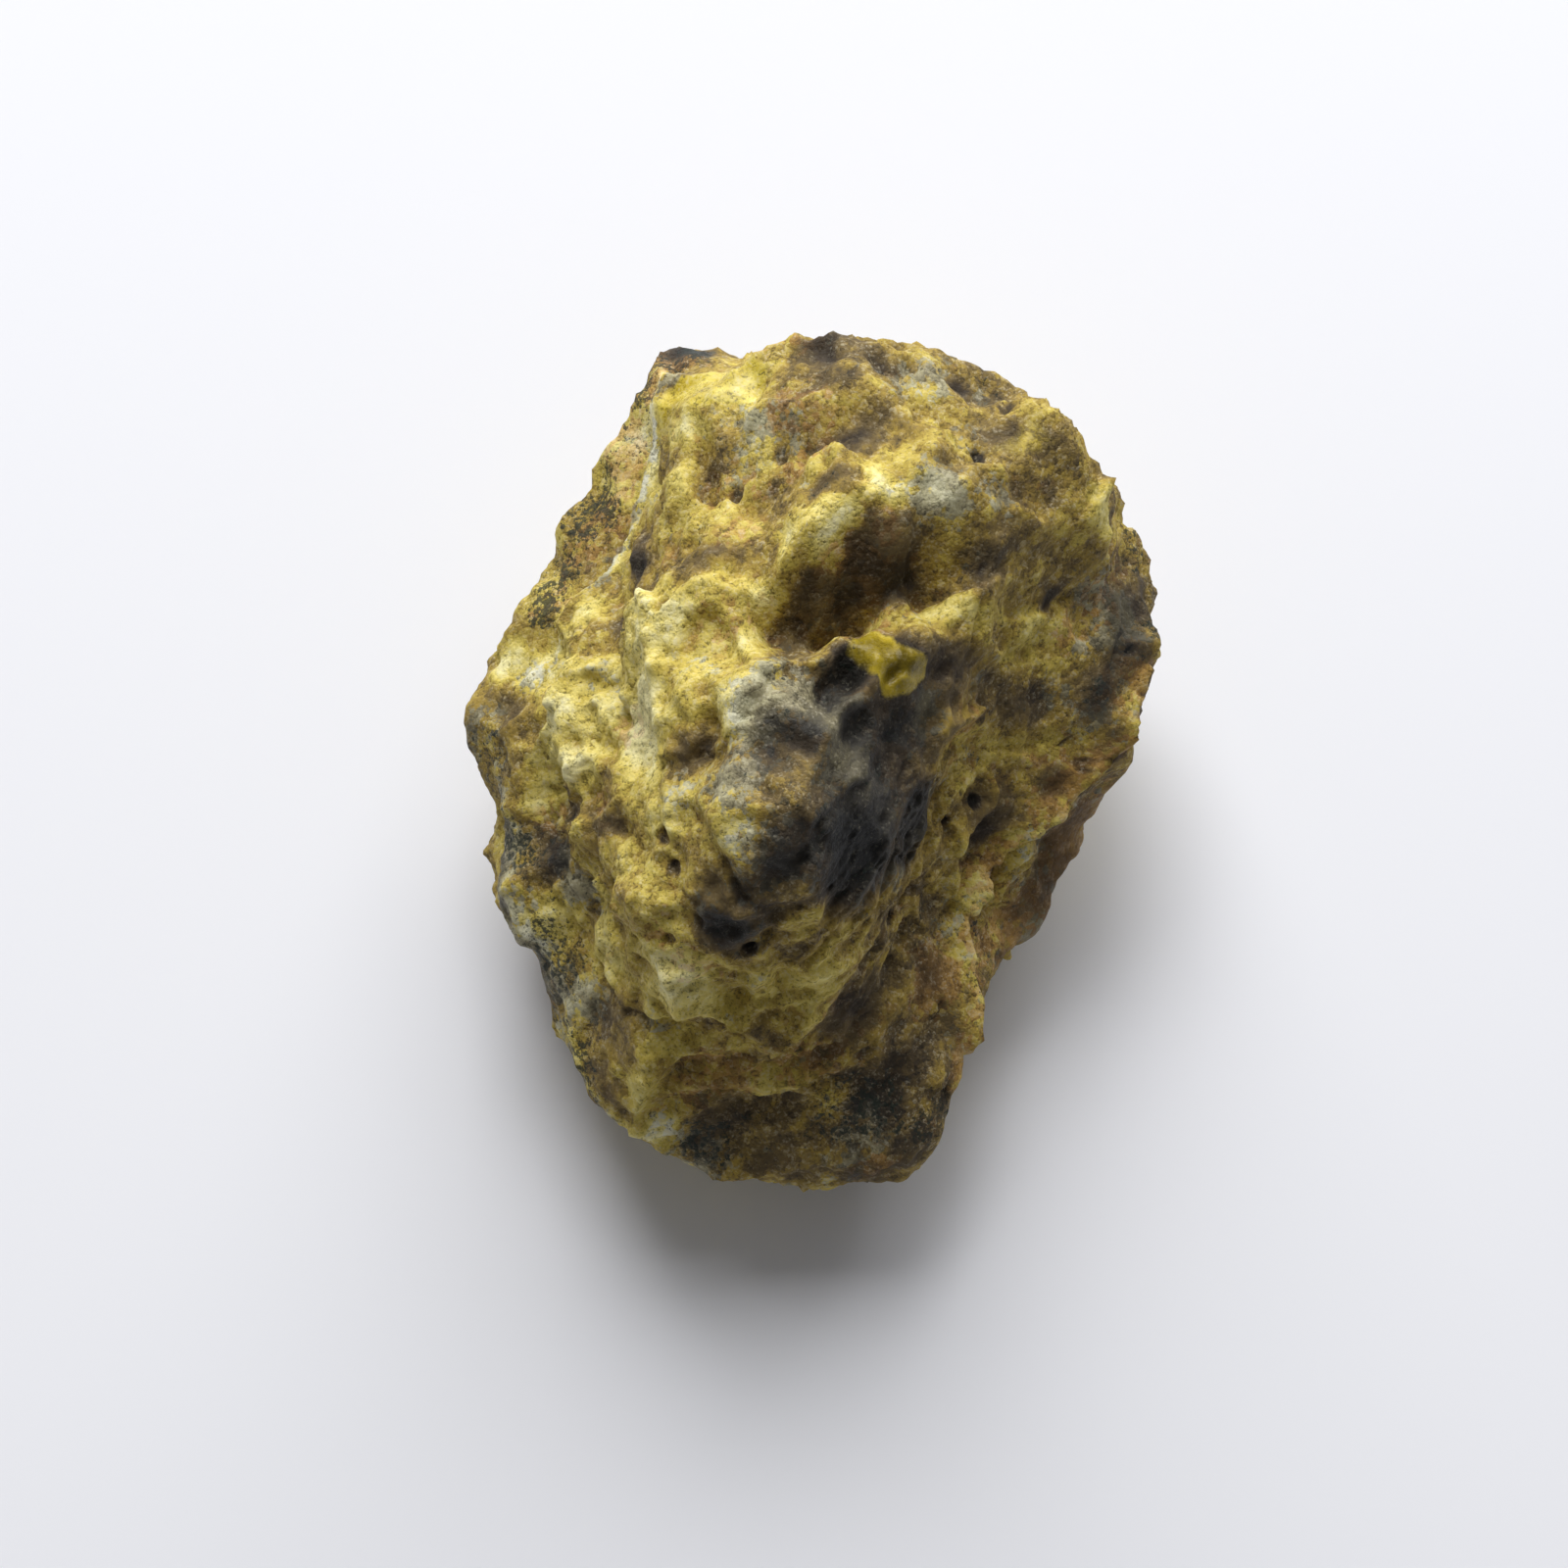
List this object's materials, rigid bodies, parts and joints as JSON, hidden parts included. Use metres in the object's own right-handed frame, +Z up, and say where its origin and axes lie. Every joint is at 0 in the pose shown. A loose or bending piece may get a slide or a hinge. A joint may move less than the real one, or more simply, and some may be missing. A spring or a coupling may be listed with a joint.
{
  "type": "rough tourmaline stone",
  "caption": "Rough tourmaline nugget in ochre matrix: one lumpy natural stone with ridges, a brown hollow and a flat resting facet.",
  "frame": {"origin": "middle of the stone's box, at the level of the flat facet that it rests on", "axes": "+Z up from the resting facet, +Y along the stone's long side towards its pointed tip, +X to the right seen from the blunt end"},
  "size_m": [0.0406, 0.0482, 0.0338],
  "materials": {
    "stone": "rough and matt, with a few glassy yellow crystal faces"
  },
  "bodies": {
    "root": {"rough_tourmaline": "stone"}
  },
  "joints": []
}
